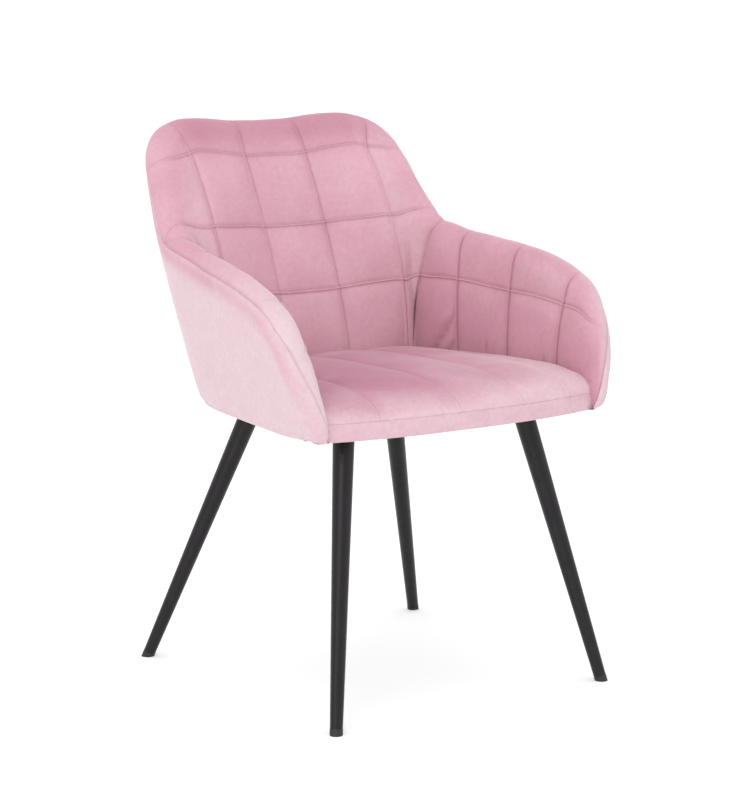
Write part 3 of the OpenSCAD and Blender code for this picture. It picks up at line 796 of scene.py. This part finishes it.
# ---------------------------------------------------------------- the quilted panels
build_panel("back_panel", BACK, [1, 3, 4], [3, 4, 6, 7], ["back_inner_cover", "back_foam"], back_painted_light_and_nap)
for side, word in ((-1, "left"), (1, "right")):
    build_panel(word + "_arm_panel", [[(side * t, v) for t, v in row] for row in ARM], [2], [1, 2, 3],
                [word + "_arm_inner_cover", word + "_arm_foam"], arm_painted_light_and_nap, ARM_FOLDS)


# ---------------------------------------------------------------- outer covers
OUTER_CROWN = 1.5 * MM              # how far the outer covers stand off the shell
OUTER_DROP, OUTER_TURN = 5.5 * MM, 4 * MM       # how far their lower edge drops and turns in
TURN_STEPS, UNDER_LINES = 5, 8      # lines round a turned edge, and all lines of the cloth under it
NEAR_SHARE = 0.16                   # top share of a cover whose lines follow the seam closely


def edge_radius(t):
    """Radius of the outer covers' lower edge."""
    return MM * np.interp(np.abs(t), [4, 7, 9], [14, 13, 8])


def turned_under(last, inward, turn, drop, hem):
    """Lines that carry the edge last round a quarter turn, then flat inward by the steps of hem."""
    angles = np.arange(1, TURN_STEPS + 1) / TURN_STEPS * np.pi / 2
    lines = [last + inward * (1 - math.cos(a)) * turn - np.array([0, 0, drop]) * math.sin(a)
             for a in angles]
    return lines + [lines[-1] + inward * d for d in hem]


def outer_panel(name, ts, replaced):
    """A smooth outer cover from the outer seam down and under the shell."""
    t = ts[:, None]
    top = seam_v(ts)[:, None]
    down = np.concatenate([stops(0.06, True, False, FINE_PITCH) * NEAR_SHARE,
                           NEAR_SHARE + (1 - NEAR_SHARE) * np.linspace(0, 1, 60)[1:]])
    v = top + (3.0 - top) * down[None, :]
    tt = np.broadcast_to(t, v.shape)
    p = skin(tt, v)
    out = unit(p - middle(tt, v))
    n = normals_of(p, out)
    run = np.cumsum(np.linalg.norm(np.diff(p, axis=1, prepend=p[:, :1]), axis=-1), axis=1)
    low = p[..., 2] - BASE_Z
    radius = edge_radius(t)
    turn = np.clip(1 - low / radius, 0, 1)
    p = p - out * [1, 1, 0] * (radius * (1 - np.sqrt(1 - np.minimum(turn, 0.999) ** 2)))[..., None]
    swell = OUTER_CROWN * (1 - np.exp(-(run / 0.03) ** 1.4)) * (1 - np.exp(-(low / 0.02) ** 2))
    lift = swell - 0.9 * MM * np.exp(-(run / EDGE_WIDTH) ** 2)
    lift += 0.5 * MM * smooth_noise(tt * 1.32, run * 14, 21) * np.minimum(run / 0.03, 1)
    p = p + n * lift[..., None]
    under = turned_under(p[:, -1], -unit(out[:, -1] * [1, 1, 0]), OUTER_TURN, OUTER_DROP,
                         (6 * MM, 12 * MM, 16 * MM))
    p = np.concatenate([p] + [u[:, None] for u in under], 1)
    # Painted shade along the outer seam.
    line = 0.22 * np.exp(-(run / EDGE_SHADE_WIDTH) ** 2)
    line = np.concatenate([line, np.zeros((len(ts), UNDER_LINES))], 1)
    near, far = (p[:, :1] - out[:, :1] * d for d in HEM)
    p = np.concatenate([far, near, p], 1)
    line = np.pad(line, ((0, 0), (len(HEM), 0)), mode="edge")
    # Painted light: the outer covers, their hem and the cloth under them are lighter than the inner panels.
    nap_and_painted_light = np.ones(p.shape[:2])
    nap_and_painted_light[:, len(HEM):-UNDER_LINES] = outer_painted_light_and_nap(run, t)
    if np.abs(ts).max() == LAST:
        p, line, nap_and_painted_light = capped(p, line, nap_and_painted_light, ts, 0 if ts[0] == -LAST else -1)
    obj = mesh_object(name, p.reshape(-1, 3), grid_faces(*p.shape[:2], True),
                      {"crease": line.ravel(), "nap_and_painted_light": nap_and_painted_light.ravel()})
    mid = obj.data.polygons[len(obj.data.polygons) // 2]
    k = np.argmin(((p.reshape(-1, 3) - np.array(mid.center)) ** 2).sum(-1))
    i, j = divmod(int(k), p.shape[1])
    if np.dot(np.array(mid.normal), out[i, min(j, out.shape[1] - 1)]) < 0:
        obj.data.flip_normals()
    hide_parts(*replaced)
    return finish_piece(obj, velvet)


CAP_ROWS = ((0.06, 1.6 * MM), (0.2, 2.6 * MM), (0.6, 2.0 * MM), (1, 0))     # share across, and drop


def capped(p, line, nap_and_painted_light, ts, end):
    """Closes the lower front end of an arm: the cover turns under it to the inner face."""
    top = float(seam_v(ts[end]))
    seen = p.shape[1] - len(HEM) - UNDER_LINES
    share = np.concatenate([np.zeros(len(HEM)), np.linspace(0, 1, seen), np.ones(UNDER_LINES)])
    inner = skin(np.full(share.shape, ts[end]), top * (1 - share)) - [0, 0, 4 * MM]
    inner[:, 2] = np.minimum(inner[:, 2], BASE_Z - 1.5 * MM)
    edge = p[end]
    rows = [edge * (1 - f) + inner * f - [0, 0, d] for f, d in CAP_ROWS]
    rows = np.stack(rows if end else rows[::-1])
    more = ((0, len(rows)) if end else (len(rows), 0), (0, 0))
    line, nap_and_painted_light = (np.pad(a, more, mode="edge") for a in (line, nap_and_painted_light))
    return np.concatenate([p, rows] if end else [rows, p], 0), line, nap_and_painted_light


def outer_painted_light_and_nap(run, t):
    """The outer covers get painted light, with pinker, pressed pile just below their seam."""
    deep = np.interp(np.abs(t), [9, 12], [0.011, 0.019])
    strong = np.interp(np.abs(t), [8.5, 10, 12, 13.6], [0.9, 0.6, 0.6, 0.3])
    return 0.95 - strong * np.exp(-((run - deep) / 0.013) ** 2)


def cluster(a, b, count):
    """Stations from a to b, closer together near both ends."""
    f = np.linspace(0, 1, count)
    near = np.array([0.004, 0.009, 0.016])
    return a + (b - a) * np.unique(np.concatenate([f, near, 1 - near]))


for word, a, b, count in (("back", -6, 6, 130), ("left_arm", -16, -6, 110), ("right_arm", 6, 16, 110)):
    outer_panel(word + "_outer_panel", cluster(a, b, count), [word + "_outer_cover", word + "_wadding"])

# ---------------------------------------------------------------- seat
SEAT_Z, CROWN = 0.467, 0.013        # height of the cushion at its edges, and its crown
BORDER_Z, BORDER_END = 0.435, 14 * MM   # the border's seam, and how far its ends run under the arms
FRONT_Y, FRONT_BOW = -0.290, 0.025  # front of the seat, and how far back its ends lie
SEAT_BACK = 0.108                   # back of the cushion
NOSE_L, NOSE_START, NOSE_POWER = 0.108, 0.62, 2 / 2.3   # the rounded front: length, first row, shape
SIDE_TUCK, BACK_TUCK = 0.010, 0.012     # depth and width of the dips at the cushion's sides and back
HALF_W = 0.233                      # half width of the seat's front
SIDE_Y, SIDE_X = (-0.268, -0.24, -0.2), (HALF_W, 0.240, 0.243)  # half width between the arms' fronts
SEAM_PITCH, SEAM_MIDDLE = 0.110, 0.007      # the cushion's four seams at its back
SEAM_DRIFT, DRIFT_MIDDLE, DRIFT_REACH = 0.031, 0.030, 0.190     # and how they drift to the front
FOOT = STATIONS[STATIONS[:, 6] < 0.1]   # the stations in front of the back


def foot_x(y):
    """Half width of the shell's inner face at the seat."""
    order = np.argsort(FOOT[:, 6])
    return np.interp(y, FOOT[order, 6], FOOT[order, 5])


def front_y(x):
    """Front of the seat."""
    return FRONT_Y + FRONT_BOW * np.minimum(np.abs(x / HALF_W), 1) ** 2.5


def seat_seams():
    """Back and front places of the four seams, which are evenly spaced at the back."""
    back = SEAM_MIDDLE + SEAM_PITCH * (np.arange(4) - 1.5)
    return back, back + SEAM_DRIFT * (1 - ((back - DRIFT_MIDDLE) / DRIFT_REACH) ** 2)


def seat_grid():
    """Points of the cushion's top in rows from back to front, and the columns of its seams."""
    flat, bend = 60, 30
    share = np.concatenate([np.linspace(0, NOSE_START, flat), np.linspace(NOSE_START, 1, bend + 1)[1:]])
    arc = np.concatenate([np.zeros(flat), np.linspace(0, np.pi / 2, bend + 1)[1:]])
    back, front = seat_seams()
    seams = back[:, None] + (front - back)[:, None] * share
    y = SEAT_BACK + (FRONT_Y + FRONT_BOW - SEAT_BACK) * share
    half = np.minimum(foot_x(np.minimum(y, 0.095)) + 0.004, np.interp(y, SIDE_Y, SIDE_X))
    edges = np.stack([-half, *seams, half], 0)
    u, at = [0.0], []
    for k in range(5):
        f = stops(float(np.mean(edges[k + 1] - edges[k])), k > 0, k < 4, FINE_PITCH)
        u += list(k + f[1:])
        at.append(len(u) - 1)
    u = np.array(u)
    i = np.clip(np.floor(u).astype(int), 0, 4)
    f = u - i
    x = edges[i].T * (1 - f) + edges[i + 1].T * f
    nose = np.sin(arc)[:, None] ** NOSE_POWER
    start = front_y(x) + NOSE_L
    y = SEAT_BACK + (start - SEAT_BACK) * np.minimum(share / NOSE_START, 1)[:, None] - NOSE_L * nose
    across = np.abs(x / half[:, None])
    along = np.clip((SEAT_BACK - y) / (SEAT_BACK - front_y(x)), 0, 1)
    top = SEAT_Z + CROWN * (1 - across ** 3) * (1 - np.abs(2 * along - 1) ** 3)
    inside = (1 - across) * half[:, None]
    top -= SIDE_TUCK * np.exp(-(inside / SIDE_TUCK) ** 2) * np.clip((y + 0.25) / 0.05, 0, 1)
    top -= BACK_TUCK * np.exp(-((SEAT_BACK - y) / BACK_TUCK) ** 2)
    z = BORDER_Z + (top - BORDER_Z) * np.cos(arc)[:, None] ** NOSE_POWER
    return np.stack([x, y, z], -1), at[:-1]


def seat_panel():
    """The cushion's top: four tucked seams run from the back over the front edge."""
    p, seams = seat_grid()
    x, y = p[..., 0], p[..., 1]
    n = normals_of(p, np.broadcast_to(np.array([0, -0.3, 1.0]), p.shape))
    run_x = np.cumsum(np.linalg.norm(np.diff(p, axis=1, prepend=p[:, :1]), axis=-1), axis=1)
    run_y = np.cumsum(np.linalg.norm(np.diff(p, axis=0, prepend=p[:1]), axis=-1), axis=0)
    lift = np.full(x.shape, -1.5 * MM)
    swell = np.ones_like(x)
    line = np.zeros_like(x)
    # Painted shade beside each seam and a painted highlight on its tuck, fainter towards the front.
    for k in seams:
        d = run_x - run_x[:, k:k + 1]
        lift += 0.55 * tuck(d)
        swell *= 1 - np.exp(-(np.abs(d) / 0.02) ** 1.2)
        line += 0.4 * np.exp(-((d / MM - 2) / 1.3) ** 2) - 0.3 * np.exp(-((d / MM + 0.2) / 1.2) ** 2)
    front = run_y[-1:] - run_y          # distance from the border's seam
    swell *= 1 - np.exp(-(front / 0.02) ** 1.5)
    lift += 1.35 * MM * np.exp(-(front / 0.012) ** 2)
    line *= np.interp(front, [0, 0.04, 0.16], [0.35, 0.6, 1])
    lift += (3.5 * swell + 0.6 * np.minimum(front / 0.02, 1) * smooth_noise(run_x * 14, run_y * 9, 3)) * MM
    # Painted light on the right front of the top and over the nose, with brushed marks in the pile.
    nose_painted_light = np.clip((0.474 - p[..., 2]) / 0.036, 0, 1) ** 1.2 * np.clip((-0.12 - y) / 0.05, 0, 1)
    painted_light_right_front = np.clip((x + 0.04) / 0.22, 0, 1) * np.clip((0.03 - y) / 0.16, 0, 1)
    nap_and_painted_light = np.clip(0.7 * painted_light_right_front + nose_painted_light + 0.16 * smooth_noise(x * 16 + y * 5, y * 22, 8), -0.2, 1)
    p = p + n * lift[..., None]
    # The cloth turns in under the border's seam, and down at the sides.
    ends = [p[-1:] + [0, 0.003, -0.0005], p[-1:] + [0, 0.010, -0.003]]
    p = np.concatenate([p] + ends, 0)
    # Faint painted shade on the turned-in rows.
    line = np.concatenate([line, np.full((2, line.shape[1]), 0.05)], 0)
    nap_and_painted_light = np.pad(nap_and_painted_light, ((0, 2), (1, 1)), mode="edge")
    sides = [p[:, :1] - [0, 0, 0.02], p[:, -1:] - [0, 0, 0.02]]
    p = np.concatenate([sides[0], p, sides[1]], 1)
    line = np.pad(line, ((0, 0), (1, 1)), mode="edge")
    obj = mesh_object("seat_top_panel", p.reshape(-1, 3), grid_faces(*p.shape[:2], False),
                      {"crease": line.ravel(), "nap_and_painted_light": nap_and_painted_light.ravel()})
    if obj.data.polygons[len(obj.data.polygons) // 2].normal.z < 0:
        obj.data.flip_normals()
    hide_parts("seat_cover", "seat_foam")
    return finish_piece(obj, velvet_seat_painted_shade)


def seat_border():
    """The strip below the cushion's front seam, turned under the board."""
    x = np.linspace(-HALF_W - BORDER_END, HALF_W + BORDER_END, 125)
    y = front_y(x)
    n = unit(np.stack([np.gradient(y, x), -np.ones_like(x), np.zeros_like(x)], -1))
    rows = []
    for f in np.concatenate([[0, 0.02, 0.05, 0.09], np.linspace(0.14, 1, 14)]):
        belly = 1.6 * MM * math.sin(math.pi * min(1, f * 1.02))
        z = np.full_like(x, BORDER_Z - (BORDER_Z - BASE_Z) * f)
        rows.append(np.stack([x, y, z], -1) + n * belly)
    hem = [rows[0] - n * 9 * MM, rows[0] - n * 3 * MM]
    under = turned_under(rows[-1], -n, 3 * MM, 3 * MM, (5 * MM, 12 * MM, 16 * MM))
    wave = 0.5 * MM * smooth_noise(x * 25, np.zeros_like(x), 12)
    ease = np.minimum(np.linspace(0, 3, len(rows)), 1)
    p = np.stack(hem + rows + under, 0)
    p[len(hem):-UNDER_LINES] += ease[:, None, None] * (n * wave[:, None])
    # Faint painted shade along the border's seam, and painted light over the whole border.
    line = np.zeros(p.shape[:2])
    line[:4] = 0.05
    obj = mesh_object("seat_border", p.reshape(-1, 3), grid_faces(*p.shape[:2], False),
                      {"crease": line.ravel(), "nap_and_painted_light": np.full(line.size, 0.9)})
    if obj.data.polygons[len(obj.data.polygons) // 3].normal.y > 0:
        obj.data.flip_normals()
    return finish_piece(obj, velvet_seat_painted_shade)


seat_panel()
seat_border()


# ---------------------------------------------------------------- floor, light and camera
def floor():
    """A white floor that can't be seen from below."""
    size = 90
    mesh = bpy.data.meshes.new("studio_floor")
    corners = [(-size, -size, 0), (size, -size, 0), (size, size, 0), (-size, size, 0)]
    mesh.from_pydata(corners, [], [(0, 1, 2, 3)])
    obj = bpy.data.objects.new("studio_floor", mesh)
    bpy.context.scene.collection.objects.link(obj)
    mat, tree, bsdf = node_tree("floor_white")
    bsdf.inputs["Roughness"].default_value = 0.9
    bsdf.inputs["Specular IOR Level"].default_value = 0.1
    tree.links.new(mix(tree, noise(tree, 3, 2), linear((238, 238, 239)), linear((242, 242, 242))),
                   bsdf.inputs["Base Color"])
    bsdf.inputs["Emission Color"].default_value = (1, 1, 1, 1)
    bsdf.inputs["Emission Strength"].default_value = 0.22
    back = tree.nodes.new("ShaderNodeNewGeometry")
    clear = tree.nodes.new("ShaderNodeBsdfTransparent")
    choose = tree.nodes.new("ShaderNodeMixShader")
    tree.links.new(back.outputs["Backfacing"], choose.inputs[0])
    tree.links.new(bsdf.outputs["BSDF"], choose.inputs[1])
    tree.links.new(clear.outputs["BSDF"], choose.inputs[2])
    tree.links.new(choose.outputs["Shader"], tree.nodes["Material Output"].inputs["Surface"])
    mesh.materials.append(mat)


def area_light(name, place, target, size, power, tall=None):
    """A white round light, or a strip if it is tall."""
    data = bpy.data.lights.new(name, "AREA")
    data.shape = "RECTANGLE" if tall else "DISK"
    data.size_y = tall or size
    data.size, data.energy, data.color = size, power, (1, 1, 1)
    obj = bpy.data.objects.new(name, data)
    bpy.context.scene.collection.objects.link(obj)
    obj.location = place
    obj.rotation_euler = aim(place, target)


def aim(place, target):
    """Rotation of a light or camera at place that looks at target."""
    return (Vector(target) - Vector(place)).to_track_quat("-Z", "Y").to_euler()


floor()
world = bpy.data.worlds.new("studio")
world.use_nodes = True
world.node_tree.nodes["Background"].inputs["Color"].default_value = (1.0, 1.0, 1.0, 1.0)
world.node_tree.nodes["Background"].inputs["Strength"].default_value = 1.0
bpy.context.scene.world = world
area_light("strip", (-2.3, -1.05, 0.55), (0, 0, 0.35), 0.35, 4.5, tall=1.9)
area_light("key", (-2.6, -2.4, 2.6), (0, 0, 0.5), 2.2, 37)
area_light("fill", (2.4, -2.8, 1.8), (0, 0, 0.5), 2.5, 8)
area_light("top", (0.0, 0.3, 3.2), (0, 0, 0.5), 2.5, 12)

camera_data = bpy.data.cameras.new("camera")
camera_data.lens, camera_data.sensor_width = 113.17, 36
camera_data.shift_x, camera_data.shift_y = -0.0015, -0.003
camera_data.clip_end = 300
camera = bpy.data.objects.new("camera", camera_data)
bpy.context.scene.collection.objects.link(camera)
camera.location = (-2.121, -3.1105, 1.065)
camera.rotation_euler = aim(camera.location, (0, -0.0465, 0.42))
bpy.context.scene.camera = camera
bpy.context.scene.view_settings.view_transform = "Standard"
